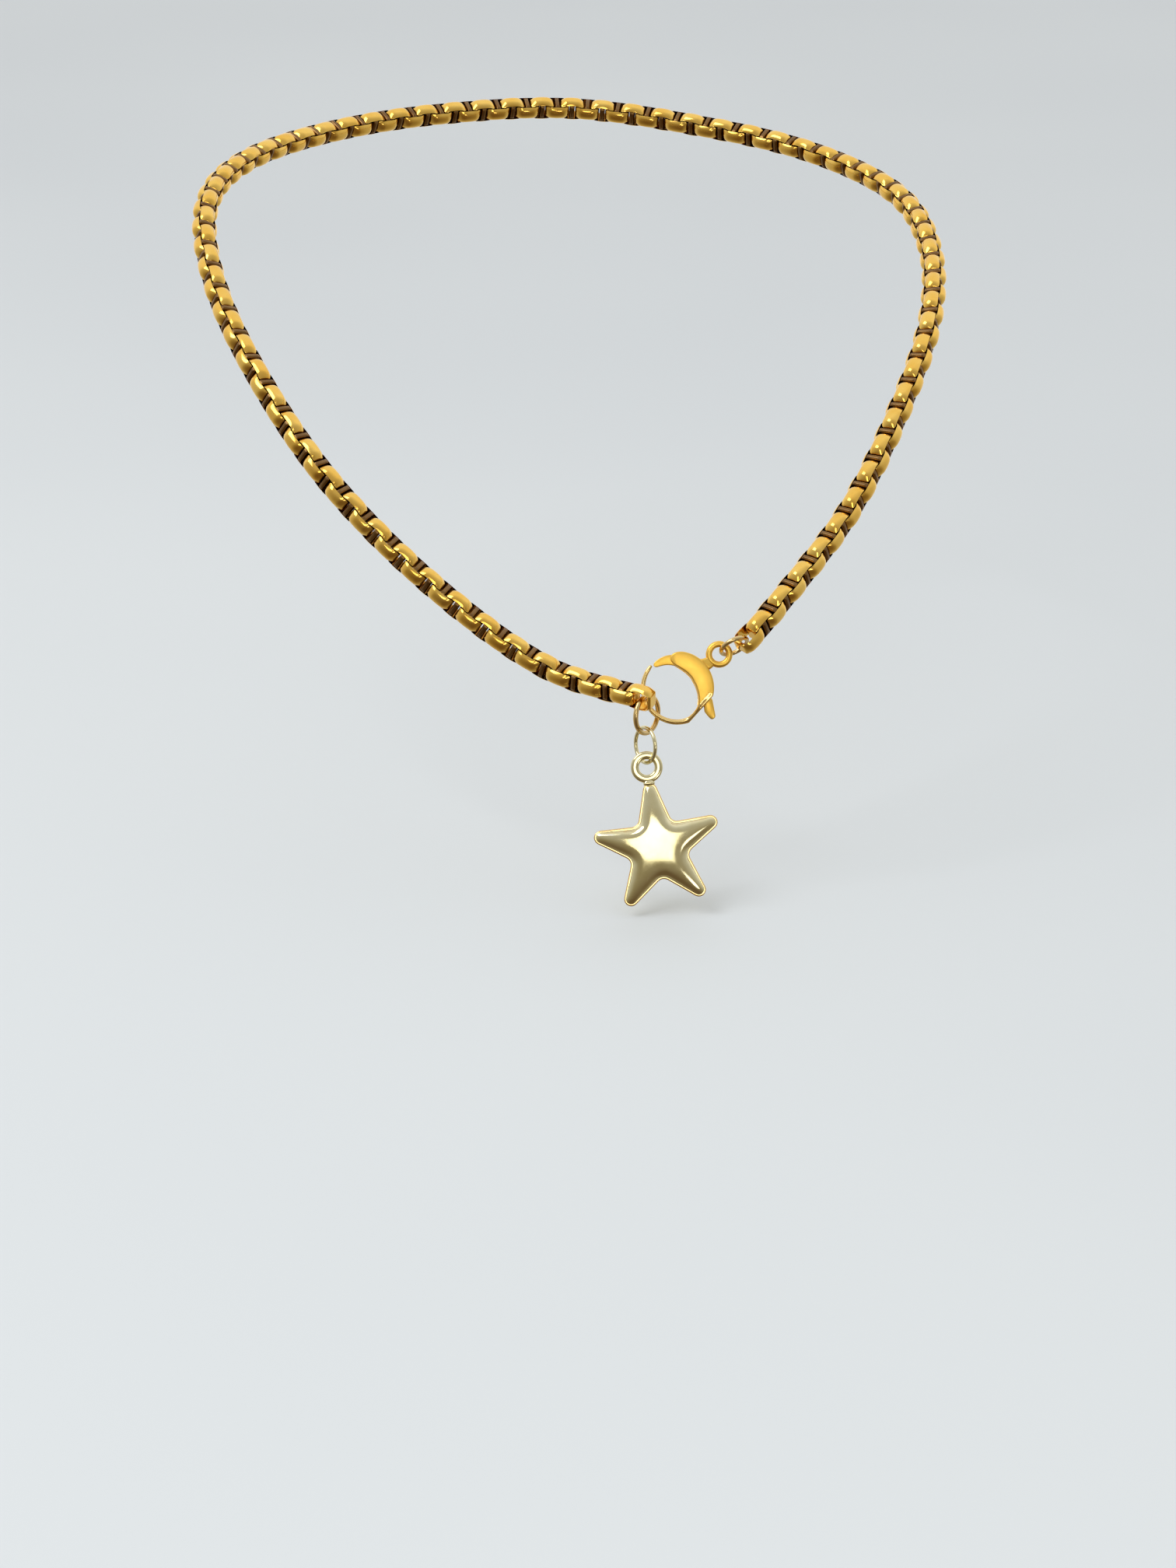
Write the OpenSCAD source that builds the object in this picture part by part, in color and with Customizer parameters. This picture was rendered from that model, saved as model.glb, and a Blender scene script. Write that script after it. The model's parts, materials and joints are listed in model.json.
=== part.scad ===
// Round box-link chain necklace with a crescent lobster clasp and a puffed star
// pendant, in the shape it takes round a neck. All sizes are in millimetres.
// +X is the wearer's left, +Y points back through the neck, +Z is up. The origin
// is the inner side of the chain at the nape.

/* [Chain] */
// Outside width of the chain
chain_w = 5; // [4.8:0.1:5.2]
// Width of the loop from side to side
loop_w = 142; // [138:1:150]
// Depth of the loop from the nape to the front
loop_depth = 156; // [150:1:164]
// Drop from the nape to the clasp
loop_drop = 75; // [70:1:80]

/* [Front] */
// Slope of the chest back from the vertical, in degrees
chest_slope = 22; // [18:1:26]
// Outside diameter of the clasp
clasp_d = 13.3; // [13.2:0.1:13.5]
// Thickness of the clasp
clasp_t = 3.2; // [3:0.1:3.4]

/* [Pendant] */
// Distance from the middle of the star to a point
star_r = 11.8; // [11:0.2:12.6]
// Thickness of the star at its middle
star_t = 3.6; // [3.2:0.1:4]

/* [Hidden] */
$fn = 48;

// --- chain link: a domed strip bent into a rounded rectangle, bridged in the middle ---
pitch_nominal = 0.654 * chain_w;
strip_w = 0.58 * chain_w;
cap_t = 0.17 * chain_w;
end_t = 0.15 * chain_w;
bridge_w = 0.14 * chain_w;
link_gap = 0.065 * chain_w;
corner_out = 0.28 * chain_w;
corner_in = 0.05 * chain_w;

// Directions in the plane of a ring that is turned about its upright and then leaned over
function ring_side(turn, lean) = [cos(turn) * cos(lean), cos(turn) * sin(lean), -sin(turn)];
function ring_up(lean) = [-sin(lean), cos(lean), 0];

// --- rings at the front: middle in the chest frame (x right, y up the chest, z out
// towards a viewer), turn, radius to the middle of the wire and wire thickness ---
ring_play = 0.1;
hook_wire = 1;
hook_r = clasp_d / 2 - hook_wire / 2;
end_ring_r = 3.4;
end_ring_wire = 1;
end_ring_turn = 54;
end_ring_lean = -10;
end_ring_at = [-5.5, -4.8, 1.2];
end_ring_side = ring_side(end_ring_turn, end_ring_lean);
end_ring_up = ring_up(end_ring_lean);
pendant_ring_r = 3.2;
pendant_ring_wire = 0.8;
pendant_ring_turn = -58;
pendant_ring_lean = 6;
pendant_ring_up = ring_up(pendant_ring_lean);
pendant_ring_at = end_ring_at - end_ring_r * end_ring_up
    + [0, (end_ring_wire + pendant_ring_wire) / 2 + ring_play, 0] - pendant_ring_r * pendant_ring_up;
eye_at = [7.6, 6.1, 0];
eye_r = 1.9;
eye_wire = 1.2;
jump_ring_r = 2.55;
jump_ring_wire = 0.9;
jump_ring_tilt = 66;
jump_ring_lean = 25;
jump_ring_at = eye_at + [2.7, 1.5, 0];
right_roll = 15;

// --- star pendant ---
star_turn = 8.2;
star_rim_t = 1;
star_tip_r = 1.3;
star_dip_r = 1.4;
star_half_angle = 16.2;
star_corner_r = star_r + star_tip_r * (1 / sin(star_half_angle) - 1);
star_inner_r = star_corner_r * sin(star_half_angle) / sin(36 + star_half_angle);
bail_r = 2.15;
bail_wire = 1.5;
bail_play = 0.2;
bail_shift = -0.1;
bail_at = pendant_ring_at - pendant_ring_r * pendant_ring_up
    + [bail_shift, (pendant_ring_wire + bail_wire) / 2 + bail_play - bail_r, 0];
bail_reach = star_r + bail_r + bail_wire / 2;
bail_neck_w = 1.7;
bail_neck_t = 1.3;
star_at = bail_at + bail_reach * [sin(star_turn), -cos(star_turn), 0];

// --- clasp: a crescent housing on a ring hook, sizes about the ring's middle ---
clasp_pos = [0.275 * loop_w / 2, -0.97 * loop_depth, -0.997 * loop_drop];
body_r = clasp_d / 2;
body_dome_r = 30;
body_dome_at = [2, 1.5];
scoop_at = [-2.2, -2];
scoop_r = 6.05;
body_from = -31;
body_to = 91;
body_tip_at = [-0.2, 5.25];
body_tip_r = 1.05;
hook_from = 139;
hook_to = 323;
root_from = -51;
root_to = -22;
root_inset = 0.25;
root_t = 0.75 * clasp_t;
slot_t = 1.5;
slot_from = -36;
slot_to = 140;
spine_from = 38;
spine_to = 84;
spine_t = 0.6;
neck_turn = atan2(eye_at.y, eye_at.x);
neck_w = 2.6;
neck_t = 1.4;
neck_from = body_r - spine_t / 2;
neck_overlap = 0.2;
neck_to = norm(eye_at) - eye_r + neck_overlap;

// --- lever in the clasp's slot, turning on a pin ---
lever_pivot = [3.3, 3.06];
lever_t = 1.2;
lever_play = 0.15;
lever_play_angle = 2;
lever_open = 25;
leaf_from = 44;
leaf_to = 136;
arm_from = -22;
arm_to = 40;
arm_setback = 0.5;
arm_r = body_r - arm_setback;
arm_inset = 0.4;
tab_outline = [[4.9, -2.9], [5.45, -3.75], [5.6, -4.6], [6.25, -5.6], [6.7, -5.55], [6.95, -5.1],
    [6.5, -2.4], [5, -0.8]];
hub_r = 1.3;
pin_r = 0.4;
pin_play = 0.05;
pin_cover = 0.3;
coil_r = 0.7;
coil_wire = 0.24;

// Points the middle of the chain passes through, from the left arm round the nape
// to the right arm, as per cent of half the width, the depth and the drop
route_shape = [
    [-6, -93.5, -97], [-35, -89.5, -79], [-61.5, -84.5, -56], [-81.5, -74.5, -34.5],
    [-95, -61, -17.5], [-99.5, -46, -5.5], [-91.5, -30, -1], [-70, -14, 0], [-39, -3.5, 0.5],
    [0, 1.6, 0], [40, -1.5, -4], [71, -9, -8], [93, -24, -12.5], [100, -40, -19.5],
    [97.5, -56, -30.5], [87.5, -69, -46.5], [72.5, -81, -66], [52.5, -92, -83]];

// --- vectors ---
function unit(v) = v / norm(v);
function chest_dir(v) = [v.x, v.y * sin(chest_slope) - v.z * cos(chest_slope),
    v.y * cos(chest_slope) + v.z * sin(chest_slope)];
function chest_point(p) = clasp_pos + chest_dir(p);
function across(v, along) = unit(v - (v * along) * along);
function turned(v, axis, angle) = v * cos(angle) + cross(axis, v) * sin(angle);

// --- ends of the chain, set by the rings they hang from ---
left_dir = unit([-0.9, 0.4, -0.2]);
left_hold = 33;
left_lift = 0.55;
left_bar_offset = 1.5;
right_bar_offset = 1.6;
end_tangent_l = 8;
half_link = pitch_nominal / 2 + link_gap / 2 + end_t;
end_ring_wire_at = end_ring_at
    + end_ring_r * (cos(left_hold) * end_ring_up - sin(left_hold) * end_ring_side);
end_ring_tangent = -cos(left_hold) * end_ring_side - sin(left_hold) * end_ring_up;
route_start = chest_point(end_ring_wire_at + [0, 0, left_lift]
    - left_dir * (left_bar_offset + end_t / 2 - half_link + pitch_nominal / 2));
right_dir = unit([0.66, 0.71, -0.26]);
jump_ring_tangent = [-sin(jump_ring_lean) * cos(jump_ring_tilt),
    cos(jump_ring_lean) * cos(jump_ring_tilt), sin(jump_ring_tilt)];
jump_ring_wire_at = jump_ring_at + jump_ring_r * [cos(jump_ring_lean), sin(jump_ring_lean), 0];
route_end = chest_point(jump_ring_wire_at
    - right_dir * (right_bar_offset + end_t / 2 - half_link + pitch_nominal / 2));

// --- the route as a smooth curve, then as points one pitch apart ---
route = concat(
    [route_start - end_tangent_l * chest_dir(left_dir), route_start],
    [for (p = route_shape) [p.x * loop_w / 200, p.y * loop_depth / 100, p.z * loop_drop / 100]],
    [route_end, route_end - end_tangent_l * chest_dir(right_dir)]);
curve_steps = 16;
function curve_point(k, t) =
    let (a = route[k - 1], b = route[k], c = route[k + 1], d = route[k + 2])
    0.5 * (2 * b + (c - a) * t + (2 * a - 5 * b + 4 * c - d) * t * t
        + (3 * b - a - 3 * c + d) * t * t * t);
curve = concat(
    [for (k = [1:len(route) - 3], j = [0:curve_steps - 1]) curve_point(k, j / curve_steps)],
    [route_end]);
curve_at = [for (i = 0, s = 0; i < len(curve);
    s = s + (i + 1 < len(curve) ? norm(curve[i + 1] - curve[i]) : 0), i = i + 1) s];
chain_len = curve_at[len(curve) - 1];
links = round(chain_len / pitch_nominal);
pitch = chain_len / links;
link_l = pitch + 2 * end_t + link_gap;
whole_window_l = link_l - 2 * end_t;
half_window_l = (whole_window_l - bridge_w) / 2;
function curve_table(axis) = [for (i = [0:len(curve) - 1]) [curve_at[i], curve[i][axis]]];
table_x = curve_table(0);
table_y = curve_table(1);
table_z = curve_table(2);
joints = [for (i = [0:links])
    [lookup(i * pitch, table_x), lookup(i * pitch, table_y), lookup(i * pitch, table_z)]];
link_dir = [for (i = [0:links - 1]) unit(joints[i + 1] - joints[i])];

// --- cap directions, carried along the chain with no twist, then evened out ---
first_cap = across(cross(chest_dir(end_ring_tangent), link_dir[0]), link_dir[0]);
last_cap = turned(across(cross(chest_dir(jump_ring_tangent), link_dir[links - 1]),
    link_dir[links - 1]), link_dir[links - 1], right_roll);
carried = [for (i = 0, n = first_cap; i < links;
    i = i + 1, n = i < links ? across(n, link_dir[i]) : n) n];
last_turn = atan2(cross(carried[links - 1], last_cap) * link_dir[links - 1],
    carried[links - 1] * last_cap) - 90 * ((links - 1) % 2);
twist = last_turn - 180 * round(last_turn / 180);
function cap_dir(i) = turned(carried[i], link_dir[i], twist * i / (links - 1) + 90 * (i % 2));

// --- groups of links: one at the nape, then matching rows down both arms ---
rows = 14;
nape_reach = 5;
nape_link = [for (i = [1:links - 2]) if (joints[i].x < 0 && joints[i + 1].x >= 0) i][0];
left_last = nape_link - nape_reach - 1;
right_first = nape_link + nape_reach + 1;
function left_bound(row) = round((left_last + 1) * (rows - row) / rows);
function right_bound(row) = right_first + round((links - right_first) * row / rows);

gold = [0.85, 0.66, 0.28];
satin_gold = [0.86, 0.65, 0.25];
pale_gold = [0.80, 0.74, 0.52];
steel = [0.7, 0.7, 0.7];

// --- shared shapes ---
module rounded_rect(l, h, r) {
    square([l - 2 * r, h], center = true);
    square([l, h - 2 * r], center = true);
    for (x = [-1, 1], y = [-1, 1])
        translate([x * (l / 2 - r), y * (h / 2 - r)])
            circle(r);
}

module wire_ring(r, wire) {
    rotate_extrude()
        translate([r, 0])
            circle(wire / 2);
}

module chest_frame() {
    translate(clasp_pos)
        rotate([90 - chest_slope, 0, 0])
            children();
}

// The bridge is left out of the first and the last link, where a ring passes through
module box_link(bridged) {
    window_l = bridged ? half_window_l : whole_window_l;
    intersection() {
        linear_extrude(strip_w, center = true)
            difference() {
                rounded_rect(link_l, chain_w, corner_out);
                for (side = bridged ? [-1, 1] : [0])
                    translate([side * (bridge_w + window_l) / 2, 0])
                        rounded_rect(window_l, chain_w - 2 * cap_t, corner_in);
            }
        rotate([0, 90, 0])
            cylinder(r = chain_w / 2, h = link_l + 1, center = true);
    }
}

module placed_link(i) {
    x = link_dir[i];
    y = cap_dir(i);
    z = cross(x, y);
    p = (joints[i] + joints[i + 1]) / 2;
    multmatrix([[x.x, y.x, z.x, p.x], [x.y, y.y, z.y, p.y], [x.z, y.z, z.z, p.z], [0, 0, 0, 1]])
        box_link(i > 0 && i < links - 1);
}

module links_between(first, last) {
    color(gold)
        for (i = [first:last])
            placed_link(i);
}

module left_row(row) {
    links_between(left_bound(row), left_bound(row - 1) - 1);
}

module right_row(row) {
    links_between(right_bound(row - 1), right_bound(row) - 1);
}

// --- chain ---
module nape_links() {
    links_between(left_last + 1, right_first - 1);
}
module left_links_01() { left_row(1); }
module left_links_02() { left_row(2); }
module left_links_03() { left_row(3); }
module left_links_04() { left_row(4); }
module left_links_05() { left_row(5); }
module left_links_06() { left_row(6); }
module left_links_07() { left_row(7); }
module left_links_08() { left_row(8); }
module left_links_09() { left_row(9); }
module left_links_10() { left_row(10); }
module left_links_11() { left_row(11); }
module left_links_12() { left_row(12); }
module left_links_13() { left_row(13); }
module left_links_14() { left_row(14); }
module right_links_01() { right_row(1); }
module right_links_02() { right_row(2); }
module right_links_03() { right_row(3); }
module right_links_04() { right_row(4); }
module right_links_05() { right_row(5); }
module right_links_06() { right_row(6); }
module right_links_07() { right_row(7); }
module right_links_08() { right_row(8); }
module right_links_09() { right_row(9); }
module right_links_10() { right_row(10); }
module right_links_11() { right_row(11); }
module right_links_12() { right_row(12); }
module right_links_13() { right_row(13); }
module right_links_14() { right_row(14); }

// --- rings ---
module end_ring() {
    color(gold)
        chest_frame()
            translate(end_ring_at)
                rotate([0, end_ring_turn, end_ring_lean])
                    wire_ring(end_ring_r, end_ring_wire);
}

module clasp_jump_ring() {
    color(gold)
        chest_frame()
            translate(jump_ring_at)
                rotate([jump_ring_tilt, 0, jump_ring_lean])
                    wire_ring(jump_ring_r, jump_ring_wire);
}

module pendant_ring() {
    color(pale_gold)
        chest_frame()
            translate(pendant_ring_at)
                rotate([0, pendant_ring_turn, pendant_ring_lean])
                    wire_ring(pendant_ring_r, pendant_ring_wire);
}

// --- clasp ---
module wedge(from, to, r) {
    steps = 8;
    polygon(concat([[0, 0]],
        [for (k = [0:steps]) let (a = from + (to - from) * k / steps) r * [cos(a), sin(a)]]));
}

// The solid part of the ring outside the throat, between two angles
module crescent(r, throat_r, from, to) {
    intersection() {
        difference() {
            circle(r);
            translate(scoop_at)
                circle(throat_r);
        }
        wedge(from, to, 2 * clasp_d);
    }
}

module band(r_out, r_in, from, to) {
    intersection() {
        difference() {
            circle(r_out);
            circle(r_in);
        }
        wedge(from, to, clasp_d);
    }
}

module housing() {
    intersection() {
        linear_extrude(clasp_t, center = true) {
            crescent(body_r, scoop_r, body_from, body_to);
            translate(body_tip_at)
                circle(body_tip_r);
        }
        translate([body_dome_at.x, body_dome_at.y, clasp_t / 2 - body_dome_r])
            sphere(body_dome_r);
    }
    linear_extrude(root_t, center = true)
        crescent(body_r - root_inset, scoop_r, root_from, root_to);
}

module lever_slot() {
    linear_extrude(slot_t, center = true)
        difference() {
            wedge(slot_from, slot_to, 2 * clasp_d);
            band(body_r, body_r - spine_t, spine_from, spine_to);
        }
}

module clasp_body() {
    color(satin_gold)
        chest_frame() {
            difference() {
                housing();
                lever_slot();
                translate([lever_pivot.x, lever_pivot.y, -clasp_t])
                    cylinder(r = pin_r, h = clasp_t + slot_t);
            }
            rotate([0, 0, hook_from])
                rotate_extrude(angle = hook_to - hook_from)
                    translate([hook_r, 0])
                        circle(hook_wire / 2);
            translate(eye_at)
                wire_ring(eye_r, eye_wire);
            rotate([0, 0, neck_turn])
                translate([neck_from, -neck_w / 2, -neck_t / 2])
                    cube([neck_to - neck_from, neck_w, neck_t]);
        }
}

// What the lever has to pass as it opens: the spine and the neck of the eye
module lever_obstacle() {
    band(clasp_d, body_r - spine_t - lever_play, spine_from - lever_play_angle,
        spine_to + lever_play_angle);
    rotate(neck_turn)
        translate([neck_from - lever_play, -neck_w / 2 - lever_play])
            square([neck_to, neck_w + 2 * lever_play]);
}

module lever_outline() {
    difference() {
        union() {
            crescent(body_r - spine_t - lever_play, scoop_r + lever_play, leaf_from, leaf_to);
            crescent(arm_r, scoop_r + arm_inset, arm_from, arm_to);
            polygon(tab_outline);
        }
        for (open = [0:5:lever_open])
            translate(lever_pivot)
                rotate(-open)
                    translate(-lever_pivot)
                        lever_obstacle();
    }
    translate(lever_pivot)
        circle(hub_r);
}

module clasp_lever() {
    color(satin_gold)
        chest_frame()
            difference() {
                linear_extrude(lever_t, center = true)
                    lever_outline();
                translate([lever_pivot.x, lever_pivot.y, -clasp_t])
                    cylinder(r = pin_r + pin_play, h = 2 * clasp_t);
                translate([lever_pivot.x, lever_pivot.y, -lever_t])
                    cylinder(r = coil_r + coil_wire, h = lever_t);
            }
}

module clasp_pin() {
    color(satin_gold)
        chest_frame()
            translate([lever_pivot.x, lever_pivot.y, pin_cover - clasp_t / 2])
                cylinder(r = pin_r, h = (clasp_t + slot_t) / 2 - pin_cover);
}

module clasp_spring() {
    color(steel)
        chest_frame()
            translate([lever_pivot.x, lever_pivot.y, -lever_t / 4])
                for (side = [-1, 1])
                    translate([0, 0, side * coil_wire / 2])
                        wire_ring(coil_r, coil_wire);
}

// --- star: two stamped halves and a ring bail ---
function star_corner(k) = let (a = 90 + 36 * k, r = k % 2 == 0 ? star_corner_r : star_inner_r)
    r * [cos(a), sin(a)];
function star_point(k, round_r, s) =
    let (a = star_corner(k - 1), b = star_corner(k), c = star_corner(k + 1),
        u = unit(a - b), v = unit(c - b), half = acos(u * v) / 2,
        centre = b + unit(u + v) * round_r / sin(half),
        spread = 90 - half, out = atan2(-(u + v).y, -(u + v).x))
    centre + round_r * [cos(out + spread * s), sin(out + spread * s)];
arc_steps = 6;
star_outline = [for (k = [0:9], j = [0:arc_steps])
    let (tip = k % 2 == 0, s = 2 * j / arc_steps - 1)
    star_point(k, tip ? star_tip_r : star_dip_r, tip ? s : -s)];

module star_half() {
    dome_r = (star_r * star_r + star_t * star_t / 4) / star_t;
    intersection() {
        linear_extrude(star_t)
            polygon(star_outline);
        union() {
            translate([0, 0, star_t / 2 - dome_r])
                sphere(dome_r, $fn = 240);
            linear_extrude(star_rim_t / 2)
                circle(2 * star_r);
        }
    }
}

module star_frame() {
    chest_frame()
        translate(star_at)
            rotate([0, 0, star_turn])
                children();
}

module star_front() {
    color(pale_gold)
        star_frame()
            star_half();
}

module star_back() {
    color(pale_gold)
        star_frame()
            mirror([0, 0, 1])
                star_half();
}

module star_bail() {
    color(pale_gold)
        star_frame()
            difference() {
                union() {
                    translate([0, bail_reach, 0])
                        wire_ring(bail_r, bail_wire);
                    translate([-bail_neck_w / 2, star_r - bail_neck_w / 2, -bail_neck_t / 2])
                        cube([bail_neck_w, bail_neck_w, bail_neck_t]);
                }
                linear_extrude(2 * star_t, center = true)
                    polygon(star_outline);
            }
}

nape_links();
left_links_01();
left_links_02();
left_links_03();
left_links_04();
left_links_05();
left_links_06();
left_links_07();
left_links_08();
left_links_09();
left_links_10();
left_links_11();
left_links_12();
left_links_13();
left_links_14();
right_links_01();
right_links_02();
right_links_03();
right_links_04();
right_links_05();
right_links_06();
right_links_07();
right_links_08();
right_links_09();
right_links_10();
right_links_11();
right_links_12();
right_links_13();
right_links_14();
end_ring();
clasp_jump_ring();
clasp_body();
clasp_lever();
clasp_pin();
clasp_spring();
pendant_ring();
star_front();
star_back();
star_bail();
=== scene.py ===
import json
import math

import bmesh
import bpy
import numpy as np
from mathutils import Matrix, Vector


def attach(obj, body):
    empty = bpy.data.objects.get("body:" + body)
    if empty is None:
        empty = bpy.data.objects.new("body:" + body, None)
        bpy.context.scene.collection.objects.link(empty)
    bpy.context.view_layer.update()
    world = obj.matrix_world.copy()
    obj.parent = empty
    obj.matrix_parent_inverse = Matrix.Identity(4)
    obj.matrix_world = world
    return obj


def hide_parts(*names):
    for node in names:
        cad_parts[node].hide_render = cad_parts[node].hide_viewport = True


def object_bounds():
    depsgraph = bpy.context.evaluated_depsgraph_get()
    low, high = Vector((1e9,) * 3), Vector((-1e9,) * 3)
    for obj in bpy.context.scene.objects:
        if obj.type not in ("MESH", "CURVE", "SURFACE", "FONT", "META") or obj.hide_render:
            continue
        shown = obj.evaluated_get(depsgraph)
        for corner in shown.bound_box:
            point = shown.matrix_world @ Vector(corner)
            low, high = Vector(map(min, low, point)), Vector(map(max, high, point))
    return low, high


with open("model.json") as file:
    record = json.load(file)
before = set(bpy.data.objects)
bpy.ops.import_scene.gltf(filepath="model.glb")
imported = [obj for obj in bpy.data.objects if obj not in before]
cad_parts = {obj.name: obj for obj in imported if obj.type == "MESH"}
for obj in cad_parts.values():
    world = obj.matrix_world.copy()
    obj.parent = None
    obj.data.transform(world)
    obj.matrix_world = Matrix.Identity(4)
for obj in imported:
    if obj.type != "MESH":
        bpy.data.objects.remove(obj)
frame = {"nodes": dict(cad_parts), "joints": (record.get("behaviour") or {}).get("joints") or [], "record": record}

# A box chain necklace with a crescent lobster clasp and a puffed star pendant. Every CAD node
# but the clasp's pin and spring is replaced by a finer mesh in the same place.

MM = 0.001
CAD_BOX = [list(corner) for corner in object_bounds()]
BODIES = frame["record"]["behaviour"]["bodies"]
BODY_OF = {node: body for body, nodes in BODIES.items() for node in nodes}
JOINTS = {joint["name"]: joint for joint in frame["joints"]}


# ---------------------------------------------------------------- chest frame
# x runs to the right, y up the chest and z out towards a viewer, as in the CAD source. The
# lever's pivot is given from the clasp's middle, in mm.
CHEST_Z = np.array(JOINTS["clasp_lever_open"]["axis"])
CHEST_X = np.array([1.0, 0.0, 0.0])
CHEST_Y = np.cross(CHEST_Z, CHEST_X)
LEVER_PIVOT = (3.3, 3.06)
CLASP_MIDDLE = (np.array(JOINTS["clasp_lever_open"]["pos_m"]) / MM
                - LEVER_PIVOT[0] * CHEST_X - LEVER_PIVOT[1] * CHEST_Y)
CHEST_AXES = np.array([CHEST_X, CHEST_Y, CHEST_Z])


def to_world(points):
    """Points of the chest frame in mm, as points of the CAD frame in metres."""
    return (np.asarray(points) @ CHEST_AXES + CLASP_MIDDLE) * MM


def to_chest(points):
    """Points of the CAD frame in metres, as points of the chest frame in mm."""
    return (np.asarray(points) / MM - CLASP_MIDDLE) @ CHEST_AXES.T


# ---------------------------------------------------------------- camera
# The camera looks down at the slope of the chest, so it is square to the clasp and the star.
CAMERA_DROP = math.radians(22)
# in metres, and the sensor and the lens in mm
CAMERA_TARGET = Vector((0.0034, -0.1575, -0.091))
CAMERA_DISTANCE = 0.6338
SENSOR_WIDTH = 36
LENS = 80.4


def add_camera():
    data = bpy.data.cameras.new("camera")
    data.sensor_width = SENSOR_WIDTH
    data.lens = LENS
    camera = bpy.data.objects.new("camera", data)
    back = Vector((0, -math.cos(CAMERA_DROP), math.sin(CAMERA_DROP)))
    camera.location = CAMERA_TARGET + CAMERA_DISTANCE * back
    camera.rotation_euler = (math.pi / 2 - CAMERA_DROP, 0, 0)
    bpy.context.scene.collection.objects.link(camera)
    bpy.context.scene.camera = camera


# ---------------------------------------------------------------- materials
# scales of the noise that makes the tone patches, the smudges and the slow waves of the metals
PATCH_SCALE = 260
SMUDGE_SCALE = 700
WAVE_SCALE = 450
# the noise values where its first tone ends and its last begins, and the shares of open space
# where the painted corner shade is full and where it is gone
NOISE_LOW, NOISE_HIGH = 0.3, 0.7
CORNER_SHADE_FULL, CORNER_SHADE_GONE = 0.2, 0.62
# how far the fine scratches are drawn out, and their share of the bump: polished, then satin
POLISHED_SCRATCHES = ((3, 1, 1), 0.25)
SATIN_SCRATCHES = ((1, 1, 6), 0.6)


def node_material(name):
    material = bpy.data.materials.new(name)
    material.use_nodes = True
    tree = material.node_tree
    return material, tree, tree.nodes["Principled BSDF"]


def add_node(tree, kind, inputs=None, **settings):
    node = tree.nodes.new(kind)
    for key, value in settings.items():
        setattr(node, key, value)
    for key, value in (inputs or {}).items():
        node.inputs[key].default_value = value
    return node


def noise(tree, scale, detail=2.0, roughness=0.5, stretch=(1, 1, 1)):
    place = add_node(tree, "ShaderNodeTexCoord")
    mapping = add_node(tree, "ShaderNodeMapping", {"Scale": stretch})
    tree.links.new(place.outputs["Object"], mapping.inputs["Vector"])
    texture = add_node(tree, "ShaderNodeTexNoise",
                       {"Scale": scale, "Detail": detail, "Roughness": roughness})
    tree.links.new(mapping.outputs["Vector"], texture.inputs["Vector"])
    return texture.outputs["Fac"]


def ramp(tree, fac, stops):
    node = add_node(tree, "ShaderNodeValToRGB")
    elements = node.color_ramp.elements
    while len(elements) < len(stops):
        elements.new(0.5)
    for element, (position, color) in zip(elements, stops):
        element.position = position
        element.color = (*color, 1)
    tree.links.new(fac, node.inputs["Fac"])
    return node.outputs["Color"]


def grey(value):
    return (value, value, value)


def metal(name, light, deep, rough, bump_scale, bump_depth,
          wear=0.3, corner_shade=None, reach=0.0012, scratches=POLISHED_SCRATCHES):
    """Plated metal: two tones in slow patches, wear in the roughness, fine scratches in the
    bump, and a painted shade, multiplied into the colour, in the corners that lie within `reach` of another face."""
    material, tree, shader = node_material(name)
    shader.inputs["Metallic"].default_value = 1.0
    patches = noise(tree, PATCH_SCALE, 3)
    color = ramp(tree, patches, [(NOISE_LOW, deep), (NOISE_HIGH, light)])
    # painted shade: the colour is darkened in corners and gaps where other faces lie within reach
    if corner_shade:
        occlusion = add_node(tree, "ShaderNodeAmbientOcclusion", {"Distance": reach}, samples=8)
        shade = ramp(tree, occlusion.outputs["AO"],
                     [(CORNER_SHADE_FULL, corner_shade), (CORNER_SHADE_GONE, grey(1))])
        mix = add_node(tree, "ShaderNodeMix", {"Factor": 1.0},
                       data_type="RGBA", blend_type="MULTIPLY")
        # a Mix node's colours are its inputs 6 and 7, and its output 2
        tree.links.new(color, mix.inputs[6])
        tree.links.new(shade, mix.inputs[7])
        color = mix.outputs[2]
    tree.links.new(color, shader.inputs["Base Color"])
    smudges = noise(tree, SMUDGE_SCALE, 4, 0.6)
    roughness = ramp(tree, smudges, [(NOISE_LOW, grey(rough * (1 - wear))),
                                     (NOISE_HIGH, grey(rough * (1 + wear)))])
    tree.links.new(roughness, shader.inputs["Roughness"])
    stretch, share = scratches
    grain = noise(tree, bump_scale, 3, 0.6, stretch)
    waves = noise(tree, WAVE_SCALE, 1)
    total = add_node(tree, "ShaderNodeMath", {1: share}, operation="MULTIPLY_ADD")
    tree.links.new(grain, total.inputs[0])
    tree.links.new(waves, total.inputs[2])
    bump = add_node(tree, "ShaderNodeBump", {"Strength": 1.0, "Distance": bump_depth})
    tree.links.new(total.outputs["Value"], bump.inputs["Height"])
    tree.links.new(bump.outputs["Normal"], shader.inputs["Normal"])
    return material
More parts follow.
